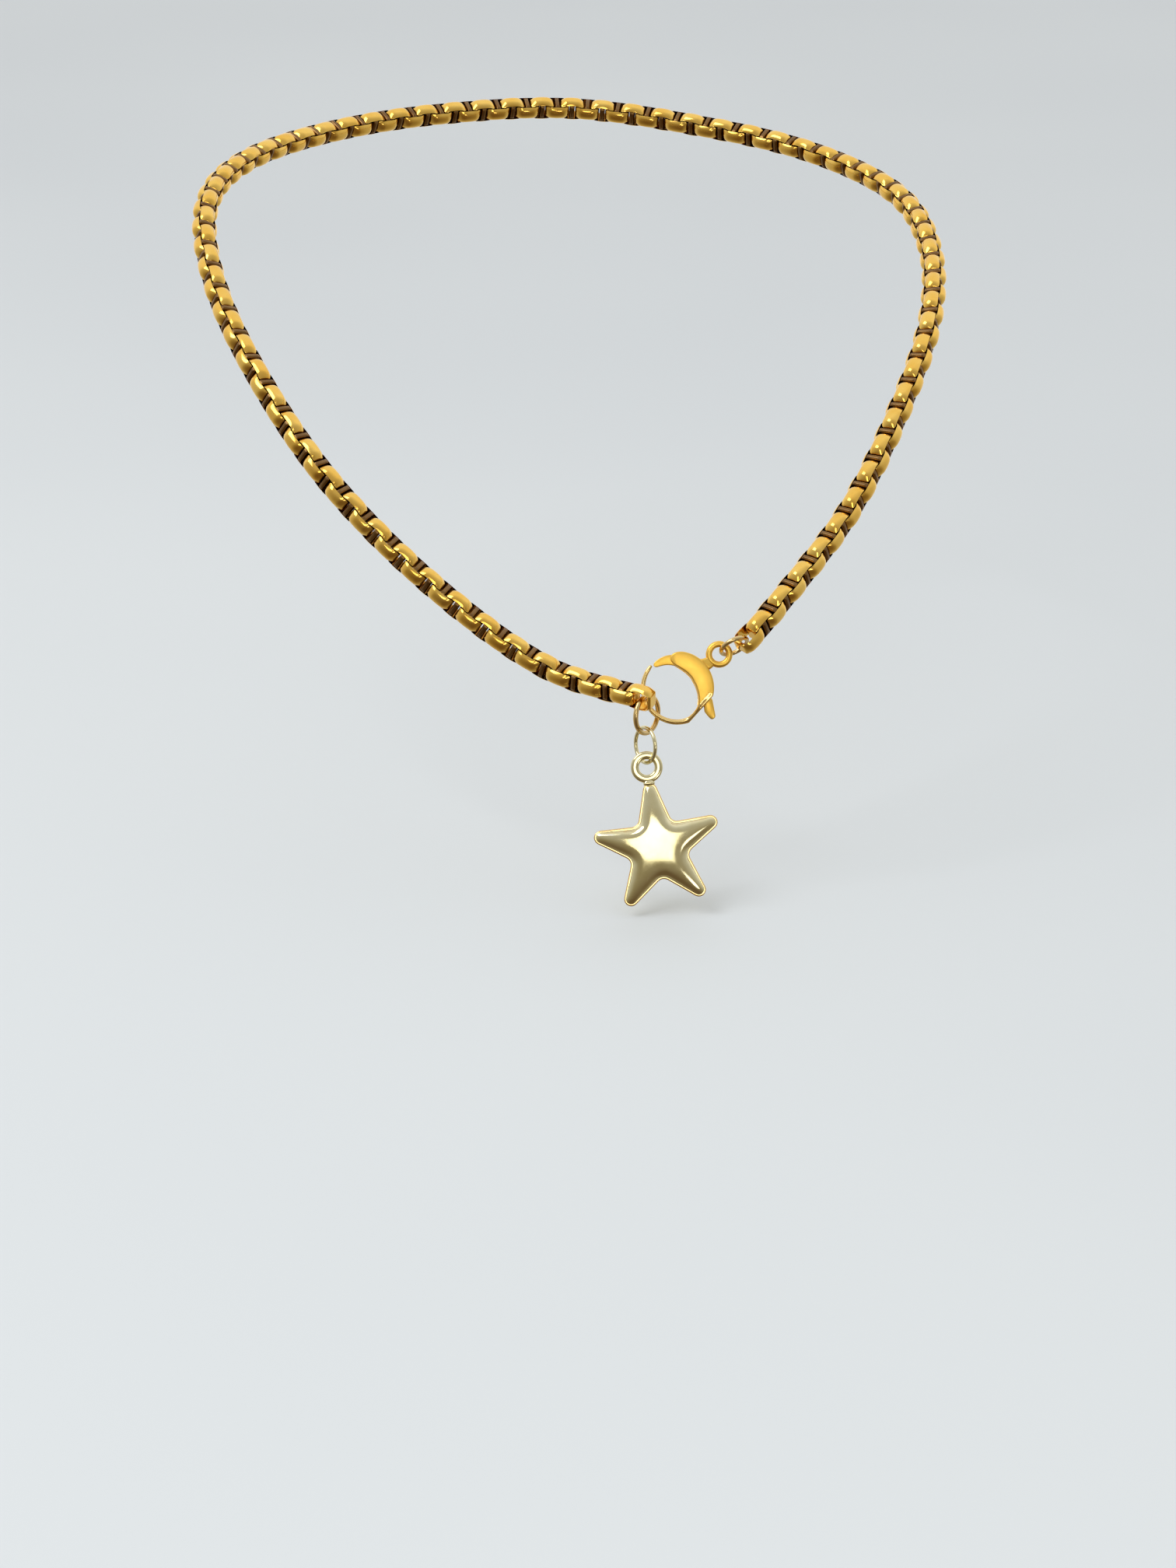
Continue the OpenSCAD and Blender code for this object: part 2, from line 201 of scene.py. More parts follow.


# light and deep tone, roughness, scale of the scratches, and depth of the bump in metres
# the last colour given to a metal, where there is one, is a painted shade for its corners and the gaps between
# parts
CHAIN_GOLD = metal("chain_gold", (1.0, 0.66, 0.16), (0.93, 0.54, 0.09), 0.13, 5000, 0.00001,
                   corner_shade=(0.32, 0.15, 0.06))
# the inner gold's dark tones are a painted shade for the bridge blocks sunk between the caps
INNER_PAINTED_SHADE = metal("inner_painted_shade", (0.28, 0.16, 0.06), (0.19, 0.10, 0.04), 0.3, 5000, 0.00001,
                   corner_shade=(0.30, 0.15, 0.06))
RING_GOLD = metal("ring_gold", (0.86, 0.65, 0.32), (0.74, 0.53, 0.23), 0.15, 5000, 0.00001,
                  corner_shade=(0.45, 0.25, 0.10))
CLASP_GOLD = metal("clasp_gold", (0.98, 0.63, 0.13), (0.93, 0.57, 0.10), 0.34, 9000, 0.000002,
                   wear=0.1, corner_shade=(0.22, 0.09, 0.03), reach=0.0005, scratches=SATIN_SCRATCHES)
POLISHED_GOLD = metal("polished_gold", (1.0, 0.75, 0.33), (0.95, 0.66, 0.24), 0.12, 5000, 0.000006,
                      corner_shade=(0.5, 0.28, 0.1))
STAR_GOLD = metal("star_gold", (0.84, 0.77, 0.50), (0.78, 0.69, 0.40), 0.1, 4000, 0.000006)
# the rim's warmer, more orange tone is a painted reflection of warm gold along the star's edge
STAR_RIM_REFLECTION = metal("star_rim_painted_reflection", (0.90, 0.68, 0.38), (0.82, 0.60, 0.30), 0.16, 4000, 0.00001)
SPRING_STEEL = metal("spring_steel", (0.6, 0.6, 0.6), (0.5, 0.5, 0.5), 0.3, 4000, 0.00001)


# ---------------------------------------------------------------- meshes
def add_mesh(name, points, faces, material, sharp=50):
    """A mesh object from points in metres and faces as tuples of point numbers. Edges that
    turn by more than `sharp` degrees stay crisp."""
    mesh = bpy.data.meshes.new(name)
    mesh.from_pydata([tuple(p) for p in points], [], faces)
    mesh.polygons.foreach_set("use_smooth", [True] * len(mesh.polygons))
    mesh.materials.append(material)
    build = bmesh.new()
    build.from_mesh(mesh)
    bmesh.ops.recalc_face_normals(build, faces=build.faces)
    for edge in build.edges:
        edge.smooth = edge.calc_face_angle(0) < math.radians(sharp)
    build.to_mesh(mesh)
    build.free()
    piece = bpy.data.objects.new(name, mesh)
    bpy.context.scene.collection.objects.link(piece)
    return piece


def grid_faces(rows, columns, closed=True):
    """Quads between rows of points, each row a closed loop. The last row meets the first if
    `closed`, and otherwise both end rows are filled."""
    faces = []
    for i in range(rows if closed else rows - 1):
        for j in range(columns):
            k, m = (i + 1) % rows, (j + 1) % columns
            faces.append((i * columns + j, k * columns + j, k * columns + m, i * columns + m))
    if not closed:
        faces.append(tuple(range(columns)))
        faces.append(tuple((rows - 1) * columns + j for j in reversed(range(columns))))
    return faces


def joined(shapes):
    """Several (points, faces) shapes as one."""
    points, faces, count = [], [], 0
    for own_points, own_faces in shapes:
        faces += [tuple(k + count for k in face) for face in own_faces]
        points.append(np.asarray(own_points))
        count += len(own_points)
    return np.concatenate(points), faces


def loft(rows, closed=False):
    """A shape through rows of points that all have the same number of points."""
    points = np.concatenate([np.asarray(row, float) for row in rows])
    return points, grid_faces(len(rows), len(rows[0]), closed)


def rounded_box_row(half_x, half_y, r, z, corner=3):
    """A level rounded rectangle of points at height z."""
    row = []
    for turn, (sx, sy) in enumerate(((1, 1), (-1, 1), (-1, -1), (1, -1))):
        for k in range(corner + 1):
            a = math.radians(90 * turn + 90 * k / corner)
            x, y = sx * (half_x - r) + r * math.cos(a), sy * (half_y - r) + r * math.sin(a)
            row.append((x, y, z))
    return row


# an inset divides by 1 plus the cosine of the outline's turn at a corner, and at least by this
INSET_LEAST = 0.4


def left_of(steps):
    """Unit vectors to the left of each step of an outline."""
    steps = steps / np.linalg.norm(steps, axis=1)[:, None]
    return np.column_stack([-steps[:, 1], steps[:, 0]])


def inset(outline, distance):
    """A closed outline, listed anticlockwise, moved inwards."""
    outline = np.array(outline, float)
    before, after = np.roll(outline, 1, axis=0), np.roll(outline, -1, axis=0)
    a, b = left_of(outline - before), left_of(after - outline)
    out = a + b
    return outline + distance * out / np.maximum((out * a).sum(axis=1), INSET_LEAST)[:, None]


def stand_for(piece, node):
    """Let a piece take the place of a CAD node, on the node's own body."""
    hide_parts(node)
    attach(piece, BODY_OF[node])


# ---------------------------------------------------------------- chain links
LINK_HALF_L = 2.551
LINK_HALF_H = 2.47
STRIP_HALF_W = 1.45
CAP_T = 0.85
END_T = 0.75
CORNER_OUT = 1.4
CORNER_IN = 0.25
# width of the rounded edges of the strip
STRIP_RIM = 0.42
# fall of a cap's face from its middle to its long sides, and to its ends
CAP_DROP = 0.72
CAP_CROWN = 0.38
# share of the fall to the long sides that comes late, close to them
CAP_LATE = 0.2
# width of the strip, as a share of the CAD strip's, at the end bars and over the caps, and how
# late round the corners it widens
BAR_WIDTH = 0.86
CAP_WIDTH = 0.97
WIDTH_POWER = 1.4
# half length, half height, corner radius and height of each level of the bridge between the caps
BRIDGE_ROWS = [(0.22, 0.95, 0.15, -1.7), (0.32, 1.2, 0.12, -1.62), (0.42, 1.45, 0.1, -1.45),
               (0.5, 1.68, 0.1, -1.2), (0.5, 1.68, 0.1, 1.2), (0.42, 1.45, 0.1, 1.45),
               (0.32, 1.2, 0.12, 1.62), (0.22, 0.95, 0.15, 1.7)]
# a CAD link with a corner this near to its middle, in metres along the chain, has a bridge
BRIDGE_NEAR = 0.6 * MM
# share of a triangle's area that faces the same way, for it to count as lying flat
FLAT_SHARE = 0.985


def rounded_loop(half_l, half_h, r, straight=8, corner=7, side=4):
    """Points round a rounded rectangle, clockwise from the left end of its top side."""
    points = []
    corners = [(half_l - r, half_h - r, 90, (1, 0)), (half_l - r, r - half_h, 0, (0, -1)),
               (r - half_l, r - half_h, -90, (-1, 0)), (r - half_l, half_h - r, 180, (0, 1))]
    for x, y, start, along in corners:
        steps, length = (straight, 2 * (half_l - r)) if along[0] else (side, 2 * (half_h - r))
        turn = math.radians(start)
        end = np.array([x, y]) + r * np.array([math.cos(turn), math.sin(turn)])
        for k in range(steps):
            points.append(end - np.array(along) * length * (1 - k / steps))
        for k in range(corner):
            a = math.radians(start - 90 * k / corner)
            points.append((x + r * math.cos(a), y + r * math.sin(a)))
    return np.array([tuple(p) for p in points])


def strip_section(flat=10, rim=8):
    """The strip's section as (place across its width, share of its thickness), all round."""
    core = STRIP_HALF_W - STRIP_RIM
    arc = np.linspace(0, math.pi, rim, endpoint=False)
    section = [(core * (2 * k / flat - 1), 1.0) for k in range(flat)]
    section += [(core + STRIP_RIM * math.sin(a), 0.5 + 0.5 * math.cos(a)) for a in arc]
    section += [(core * (1 - 2 * k / flat), 0.0) for k in range(flat)]
    section += [(-core - STRIP_RIM * math.sin(a), 0.5 - 0.5 * math.cos(a)) for a in arc]
    return section


def link_mesh(bridged):
    """One box link about its own middle: x along the chain, y towards its caps."""
    outer = rounded_loop(LINK_HALF_L, LINK_HALF_H, CORNER_OUT)
    inner = rounded_loop(LINK_HALF_L - END_T, LINK_HALF_H - CAP_T, CORNER_IN)
    section = strip_section()
    points = []
    straight_top = LINK_HALF_H - CORNER_OUT
    for (xo, yo), (xi, yi) in zip(outer, inner):
        # from 0 on the end bars to 1 on the caps
        cap = np.clip((abs(yo) - straight_top) / CORNER_OUT, 0, 1)
        cap = cap * cap * (3 - 2 * cap)
        wide = BAR_WIDTH + (CAP_WIDTH - BAR_WIDTH) * cap ** WIDTH_POWER
        crown = CAP_CROWN * (xo / LINK_HALF_L) ** 2
        for z, share in section:
            t = (z / STRIP_HALF_W) ** 2
            drop = (CAP_DROP * ((1 - CAP_LATE) * t + CAP_LATE * t * t) + crown) * cap
            y_top = yo - math.copysign(drop, yo)
            points.append((xi + (xo - xi) * share, yi + (y_top - yi) * share, z * wide))
    strip = np.array(points), grid_faces(len(outer), len(section))
    if not bridged:
        return strip
    return joined([strip, loft([rounded_box_row(*row) for row in BRIDGE_ROWS])])


def solids_of(node):
    """The separate solids of a CAD node, each as its points and its triangles' area vectors."""
    mesh = frame["nodes"][node].data
    mesh.calc_loop_triangles()
    points = np.zeros(len(mesh.vertices) * 3)
    mesh.vertices.foreach_get("co", points)
    triangles = np.zeros(len(mesh.loop_triangles) * 3, int)
    mesh.loop_triangles.foreach_get("vertices", triangles)
    points, index = np.unique(np.round(points.reshape(-1, 3), 7), axis=0, return_inverse=True)
    triangles = index.reshape(-1)[triangles].reshape(-1, 3)
    # each point takes the least label of the points it is joined to, until none changes
    label = np.arange(len(points))
    while True:
        least = label[triangles].min(axis=1)
        fresh = label.copy()
        for corner in range(3):
            np.minimum.at(fresh, triangles[:, corner], least)
        if (fresh == label).all():
            break
        label = fresh
    solids = []
    for value in np.unique(label):
        own = triangles[label[triangles[:, 0]] == value]
        first, second, third = (points[own[:, corner]] for corner in range(3))
        solids.append((points[label == value], np.cross(second - first, third - first) / 2))
    return solids


def direction(cross, near):
    """The direction close to `near` that flat faces face, from the triangles' area vectors."""
    area = np.linalg.norm(cross, axis=1) + 1e-15
    side = cross @ near
    flat = np.abs(side) > FLAT_SHARE * area
    total = (cross[flat] * np.sign(side[flat])[:, None]).sum(axis=0)
    return total / np.linalg.norm(total)


def link_frames(solids, middles):
    """Middle and axes of each link, x along the chain and y towards its caps, and whether it
    has a bridge between its caps."""
    frames = []
    for points, cross in solids:
        middle = points.mean(axis=0)
        distance = np.linalg.norm(middles - middle, axis=1)
        # the nearest middle is the link's own, and the next two show which way the chain runs
        first, second = middles[np.argsort(distance)[1:3]]
        x = direction(cross, (first - second) / np.linalg.norm(first - second))
        spread = points - middle
        spread = spread - np.outer(spread @ x, x)
        # across the chain, the points spread least along the strip's width
        z = direction(cross, np.linalg.eigh(spread.T @ spread)[1][:, 1])
        y = np.cross(z, x)
        y /= np.linalg.norm(y)
        axes = np.array([x, y, np.cross(x, y)])
        own = points @ axes.T
        middle = (own.min(axis=0) + own.max(axis=0)) / 2
        bridged = bool((np.abs(own[:, 0] - middle[0]) < BRIDGE_NEAR).any())
        frames.append((middle @ axes, axes, bridged))
    return frames


def add_chain():
    """A fine link in the place of each CAD link, one piece for each CAD node. The bridge
    blocks are painted darker than the strips, a painted shade between the caps."""
    nodes = [node for node in sorted(BODY_OF) if node.endswith("links") or "_links_" in node]
    solids = {node: solids_of(node) for node in nodes}
    middles = np.array([points.mean(axis=0) for node in nodes for points, _ in solids[node]])
    shapes = {bridged: link_mesh(bridged) for bridged in (False, True)}
    strip_faces = len(shapes[False][1])
    for node in nodes:
        links = []
        for middle, axes, bridged in link_frames(solids[node], middles):
            shape, faces = shapes[bridged]
            links.append((shape * MM @ axes + middle, faces))
        points, faces = joined(links)
        piece = add_mesh(node + "_fine", points, faces, CHAIN_GOLD)
        # the bridge blocks take the dark inner material, a painted shade between the caps
        piece.data.materials.append(INNER_PAINTED_SHADE)
        first = 0
        for _, own_faces in links:
            for polygon in piece.data.polygons[first + strip_faces:first + len(own_faces)]:
                polygon.material_index = 1
            first += len(own_faces)
        stand_for(piece, node)


# ---------------------------------------------------------------- rings
# how much thinner each wire is drawn than in the CAD, so that the rings have room to turn
WIRE_ROOM = 0.03
RING_STEPS = 96
WIRE_STEPS = 20
# the seam of a cut ring: the rows of points beside it, and the nick's half width, all in
# degrees, and the wire's size in the nick
SEAM_ROWS = (-0.9, -0.45, 0.45, 0.9)
NICK_HALF = 0.5
NICK_SHARE = 0.8


def ring_rows(r, half_w, half_t, seam=None, squareness=2.0):
    """Rows of points round a ring in its own plane. At the seam, in degrees, the wire's two
    ends meet with a hairline nick."""
    rows = []
    angles = [360 * k / RING_STEPS for k in range(RING_STEPS)]
    if seam is not None:
        angles = sorted(angles + [seam + d for d in SEAM_ROWS])
    for a in angles:
        nick = 1.0
        if seam is not None and abs(a - seam) < NICK_HALF:
            nick = NICK_SHARE
        c, s = math.cos(math.radians(a)), math.sin(math.radians(a))
        row = []
        for k in range(WIRE_STEPS):
            b = 2 * math.pi * k / WIRE_STEPS
            u = math.copysign(abs(math.cos(b)) ** (2 / squareness), math.cos(b)) * half_w * nick
            v = math.copysign(abs(math.sin(b)) ** (2 / squareness), math.sin(b)) * half_t * nick
            row.append(((r + u) * c, (r + u) * s, v))
        rows.append(row)
    return rows


def ring_shape(at, *sizes, **options):
    """A closed ring as one shape, with its middle at a place of its own plane."""
    points, faces = loft(ring_rows(*sizes, **options), closed=True)
    return points + (*at, 0), faces


def add_wire_ring(node, material, seam_towards):
    """A wire ring in the place and size of its CAD node, with its seam on the side given in
    the chest frame."""
    points = np.array([v.co for v in frame["nodes"][node].data.vertices]) / MM
    points = np.unique(np.round(points, 4), axis=0)
    middle = (points.min(axis=0) + points.max(axis=0)) / 2
    # The points spread least along the ring's axis, the last of the three. The middle and the
    # axes depend on each other, and settle in three rounds.
    for _ in range(3):
        spread = points - middle
        axes = np.linalg.eigh(spread.T @ spread)[1].T[::-1]
        flat = spread @ axes.T
        middle = middle + (flat.min(axis=0) + flat.max(axis=0)) / 2 @ axes
    spread = points - middle
    off = np.linalg.norm(spread - np.outer(spread @ axes[2], axes[2]), axis=1)
    r, wire = (off.max() + off.min()) / 2, (off.max() - off.min()) / 2
    towards = np.asarray(seam_towards) @ CHEST_AXES
    seam = math.degrees(math.atan2(towards @ axes[1], towards @ axes[0])) % 360
    half = wire - WIRE_ROOM
    shape, faces = loft(ring_rows(r, half, half, seam), closed=True)
    piece = add_mesh(node + "_fine", (shape @ axes + middle) * MM, faces, material)
    stand_for(piece, node)


# ---------------------------------------------------------------- clasp
# All in mm and degrees, in the chest frame. Angle round the clasp's middle, inner and outer
# radius of the housing, and below it of the hook
HOUSING_EDGE = [(103.4, 5.3, 5.3), (103.1, 5.06, 5.54), (102.4, 4.8, 5.8), (101.0, 4.52, 6.02),
                (98.7, 4.26, 6.2), (95.0, 4.05, 6.38), (90.0, 3.84, 6.52), (82.0, 3.56, 6.63),
                (68.0, 3.28, 6.65), (50.0, 3.12, 6.65), (20.0, 3.13, 6.65), (4.0, 3.38, 6.65),
                (-10.0, 3.72, 6.65), (-24.0, 4.22, 6.65), (-36.0, 4.72, 6.65), (-44.0, 4.96, 6.65),
                (-52.0, 5.15, 6.65), (-60.0, 5.36, 6.65), (-68.0, 5.55, 6.65), (-80.0, 5.66, 6.64),
                (-110.0, 5.68, 6.62), (-160.0, 5.72, 6.6), (-205.0, 5.78, 6.56),
                (-216.0, 5.8, 6.54), (-221.0, 5.95, 6.4)]
# angle and half thickness of the housing, and below it of the hook
HALF_THICK = [(103.4, 1.36), (94.0, 1.5), (60.0, 1.6), (-20.0, 1.6), (-45.0, 1.45), (-60.0, 1.05),
              (-74.0, 0.6), (-90.0, 0.49), (-160.0, 0.45), (-216.0, 0.42), (-221.0, 0.3)]
HOOK_END = -221
# angles of the sections that round off the housing's point, and of the next one below
POINT_ANGLES = [103.38, 103.25, 103.0, 102.6, 102.0, 101.2, 100.2]
POINT_END = 99.0
# the flat facet that cuts the lower right of the housing: the way it faces, where it starts and
# ends along that way, and its slope
FACET_TURN = -41.7
FACET_FROM = 4.92
FACET_TO = 5.8
FACET_FALL = 0.25
# the housing's face is a low dome about this radius
DOME_R = 4.9
DOME_REACH = 1.75
DOME_FALL = 0.10
# the bevel of the housing's edges, the angle past which it grows on the hook, and its growth
# for each degree
BEVEL = 0.28
HOOK_ROUND_FROM = -50
HOOK_ROUNDING = 0.02
# the most that a bevel takes of a section's width, of a cheek's width and of half a thickness
BEVEL_OF_WIDTH = 0.49
BEVEL_OF_CHEEK = 0.45
BEVEL_OF_HALF_T = 0.98
# the slot that the lever lies in, open from the point down to SLOT_END, the cheeks' overlap
# with the foot below it, and how much further in the back cheek reaches
SLOT_HALF = 0.75
SLOT_END = -36
FOOT_OVERLAP = 3
BACK_LIP = 0.12
# the wall that closes the slot on the outside: angles from and to, radii, half height, bevel
WALL_ANGLES = (48, 84)
WALL_SECTION = (6.1, 6.6, 0.9, 0.1)
EYE_AT = (7.6, 6.1)
EYE_R = 1.85
EYE_HALF_W = 0.58
EYE_HALF_T = 0.62
EYE_SQUARENESS = 2.4
# distance of each section of the neck from the clasp's middle, its offset, half width and
# half thickness
NECK = [(6.42, 0.5, 1.2, 0.68), (6.62, 0.2, 1.25, 0.66), (7.0, 0.05, 1.15, 0.62),
        (7.4, 0, 1.08, 0.58), (8.0, 0, 1.0, 0.5)]
NECK_CORNER = 0.4
# the polished parts of the body: the facet between two angles, the hook below one angle, and
# the hook's end beyond another
POLISHED_FACET = (-68, -10)
POLISHED_HOOK = -56
POLISHED_END = 130


def table(rows, at, column):
    """A value of a table whose first column falls, on straight lines between its rows."""
    rows = rows[::-1]
    return float(np.interp(at, [row[0] for row in rows], [row[column] for row in rows]))


def smooth_table(rows, at, column, reach=3.0):
    """The mean of a table's values near a place, which rounds off its corners."""
    ends = rows[-1][0], rows[0][0]
    room = min(reach, at - ends[0], ends[1] - at)
    return sum(table(rows, at + room * k / 3, column) for k in range(-3, 4)) / 7


def outer_edge(angle):
    """Outer radius of the housing or the hook, which the facet's end cuts straight."""
    cut = math.cos(math.radians(angle - FACET_TURN))
    r = smooth_table(HOUSING_EDGE, angle, 2)
    return min(r, FACET_TO / cut) if cut > 0.1 else r


def face_height(r, angle, half_t):
    """Height of the housing's face, a low dome that the facet cuts."""
    share = (r - DOME_R) / DOME_REACH
    height = half_t - DOME_FALL * share * share
    past = r * math.cos(math.radians(angle - FACET_TURN)) - FACET_FROM
    return height - FACET_FALL * max(past, 0)


def face_line(angle, r_in, r_out, half_t, bevel, across):
    """Radius and height of the face at an angle, bevelled at its inner and outer edge."""
    arc = np.linspace(0, math.pi / 2, 6)
    first, last = r_in + bevel, r_out - bevel
    line = [(r_in + bevel * (1 - math.cos(a)),
             face_height(first, angle, half_t) - bevel * (1 - math.sin(a))) for a in arc]
    line += [(r, face_height(r, angle, half_t)) for r in np.linspace(first, last, across)[1:-1]]
    line += [(r_out - bevel * (1 - math.sin(a)),
              face_height(last, angle, half_t) - bevel * (1 - math.cos(a))) for a in arc]
    return line


def round_middle(angle, section):
    """A section of (radius, height) at an angle round the clasp's middle."""
    c, s = math.cos(math.radians(angle)), math.sin(math.radians(angle))
    return [(r * c, r * s, z) for r, z in section]


def cheek_row(angle, side):
    """The section of the front or back cheek of the housing at an angle, all round."""
    r_in, r_out = smooth_table(HOUSING_EDGE, angle, 1), outer_edge(angle)
    if side < 0:
        r_in -= BACK_LIP
    half_t = smooth_table(HALF_THICK, angle, 1)
    bevel = min(BEVEL, BEVEL_OF_CHEEK * (r_out - r_in))
    section = [(r_in, SLOT_HALF), *face_line(angle, r_in, r_out, half_t, bevel, 12),
               (r_out, SLOT_HALF)]
    return round_middle(angle, [(r, side * z) for r, z in section])


def hook_row(angle):
    """The section below the slot, through the housing's foot and the hook's wire."""
    r_in, r_out = smooth_table(HOUSING_EDGE, angle, 1), outer_edge(angle)
    half_t = smooth_table(HALF_THICK, angle, 1)
    bevel = BEVEL + max(HOOK_ROUND_FROM - angle, 0) * HOOK_ROUNDING
    bevel = min(bevel, BEVEL_OF_WIDTH * (r_out - r_in), half_t * BEVEL_OF_HALF_T)
    upper = face_line(angle, r_in, r_out, half_t, bevel, 10)
    return round_middle(angle, upper + [(r, -z) for r, z in reversed(upper)])


def band_row(angle, r_in, r_out, half_t, bevel):
    """A rounded bar section of a flat curved strip at an angle."""
    bevel = min(bevel, BEVEL_OF_WIDTH * (r_out - r_in))
    corners = ((r_out - bevel, half_t - bevel, 0), (r_in + bevel, half_t - bevel, 90),
               (r_in + bevel, bevel - half_t, 180), (r_out - bevel, bevel - half_t, 270))
    section = []
    for r, z, start in corners:
        for k in range(5):
            a = math.radians(start + 22.5 * k)
            section.append((r + bevel * math.cos(a), z + bevel * math.sin(a)))
    return round_middle(angle, section)


def steps_between(start, end, step):
    """Even steps of about the given size from start to end."""
    count = max(2, round(abs(end - start) / step) + 1)
    return np.linspace(start, end, count)


def neck_rows():
    """Sections of the neck between the housing and the eye."""
    turn = math.atan2(EYE_AT[1], EYE_AT[0])
    c, s = math.cos(turn), math.sin(turn)
    rows = []
    for along, aside, half_w, half_t in NECK:
        row = rounded_box_row(half_w, half_t, NECK_CORNER, along)
        rows.append([(z * c - (x + aside) * s, z * s + (x + aside) * c, y) for x, y, z in row])
    return rows


def add_clasp_body():
    shapes = []
    for side in (1, -1):
        angles = POINT_ANGLES + list(steps_between(POINT_END, SLOT_END - FOOT_OVERLAP, 2))
        shapes.append(loft([cheek_row(a, side) for a in angles]))
    shapes.append(loft([hook_row(a) for a in steps_between(SLOT_END, HOOK_END, 1.5)]))
    shapes.append(loft([band_row(a, *WALL_SECTION) for a in steps_between(*WALL_ANGLES, 2)]))
    shapes.append(ring_shape(EYE_AT, EYE_R, EYE_HALF_W, EYE_HALF_T, squareness=EYE_SQUARENESS))
    shapes.append(loft(neck_rows()))
    points, faces = joined(shapes)
    piece = add_mesh("clasp_body_fine", to_world(points), faces, CLASP_GOLD)
    piece.data.materials.append(POLISHED_GOLD)
    for polygon in piece.data.polygons:
        x, y, _ = to_chest(polygon.center)
        angle = math.degrees(math.atan2(y, x))
        out = math.hypot(x, y) * math.cos(math.radians(angle - FACET_TURN))
        facet = out > FACET_FROM and POLISHED_FACET[0] < angle < POLISHED_FACET[1]
        if facet or angle < POLISHED_HOOK or angle > POLISHED_END:
            polygon.material_index = 1
    stand_for(piece, "clasp_body")


# angle, inner and outer radius of the lever's leaf and arm. The leaf's tip is rounded from
# LEAF_TIP to LEAF_FULL, and the arm ends at ARM_END.
LEAF_TIP = 136.75
LEAF_FULL = 132
ARM_END = -22
LEVER_EDGE = [(136.8, 5.7, 5.7), (136.2, 5.46, 5.93), (134.8, 5.3, 6.08), (132.0, 5.14, 6.18),
              (126.0, 4.92, 6.22), (118.0, 4.66, 6.22), (110.0, 4.42, 6.2), (102.0, 4.16, 6.12),
              (94.0, 3.94, 6.0), (86.0, 3.7, 5.88), (60.0, 3.2, 5.88), (36.0, 3.1, 5.86),
              (18.0, 3.16, 6.0), (0.0, 3.4, 6.1), (-14.0, 3.78, 6.1), (-22.0, 4.2, 6.0)]
LEVER_HALF_T = 0.6
LEVER_BEVEL = 0.16
# outline of the thumb tab, anticlockwise
TAB = [(4.75, -1.2), (4.78, -2.9), (4.85, -3.55), (4.95, -4.3), (5.35, -4.85), (5.9, -5.45),
       (6.2, -5.66), (6.5, -5.62), (6.8, -5.4), (6.92, -5.1), (6.88, -4.7), (6.62, -3.4),
       (6.4, -2.2), (5.9, -1.2)]


def plate(outline, half_t, bevel):
    """A flat plate with rounded edges."""
    levels = [(bevel, -half_t), (0.3 * bevel, 0.3 * bevel - half_t), (0, bevel - half_t),
              (0, half_t - bevel), (0.3 * bevel, half_t - 0.3 * bevel), (bevel, half_t)]
    return loft([[(x, y, z) for x, y in inset(outline, distance)] for distance, z in levels])


def add_clasp_lever():
    angles = list(np.linspace(LEAF_TIP, LEAF_FULL, 8))[:-1]
    angles += list(steps_between(LEAF_FULL, ARM_END, 2))
    leaf = loft([band_row(a, table(LEVER_EDGE, a, 1), table(LEVER_EDGE, a, 2),
                          LEVER_HALF_T, LEVER_BEVEL) for a in angles])
    tab = plate(TAB, LEVER_HALF_T, LEVER_BEVEL)
    points, faces = joined([leaf, tab])
    piece = add_mesh("clasp_lever_fine", to_world(points), faces, CLASP_GOLD)
    stand_for(piece, "clasp_lever")


# ---------------------------------------------------------------- star
# in mm and degrees: the star's turn, its radius to the tips, the radii that round its tips and
# its dips, and half the angle of an arm
STAR_TURN = 8.2
STAR_R = 11.8
TIP_R = 1.3
DIP_R = 1.4
HALF_ANGLE = 16.2
# inset and height of each ring of points from the seam up over the rim, and how many of the
# bands between them, counted from the seam, have the rim's warmer colour, a painted reflection
RIM_INSET = 0.42
RIM_RISE = 0.42
RIM = [(0.07, 0.0), (0.0, 0.06), (0.0, 0.24), (0.04, 0.34), (0.1, 0.4), (0.18, RIM_RISE),
       (0.27, 0.42), (0.34, 0.41), (RIM_INSET, 0.42), (0.5, 0.46)]
RIM_BANDS = len(RIM) - 3
# the puffed face: its rise in the middle, the width over which it rounds over at the rim, and
# how far it falls towards the arms' tips
PUFF_RISE = 1.36
PUFF_POWER = 0.85
SHOULDER = 0.55
ARM_FALL = 0.74
PUFF_CELL = 0.15
PUFF_STEPS = 700
# size of each ring of points on the face, as a share of the edge's
FACE_SHARES = np.linspace(1, 0.04, 26)[1:] ** 1.1
BAIL_R = 2.15
BAIL_HALF_W = 0.75
BAIL_HALF_T = 0.6
BAIL_SQUARENESS = 3.4
BAIL_AT = (0, STAR_R + BAIL_R + BAIL_HALF_W)
# the collar between star and bail: height up the star, half width and half thickness
COLLAR = [(11.35, 0.75, 0.5), (11.45, 0.95, 0.68), (11.62, 1.05, 0.78), (11.85, 1.05, 0.78),
          (12.02, 0.95, 0.7), (12.2, 0.85, 0.6), (12.6, 0.85, 0.55)]
COLLAR_CORNER = 0.48


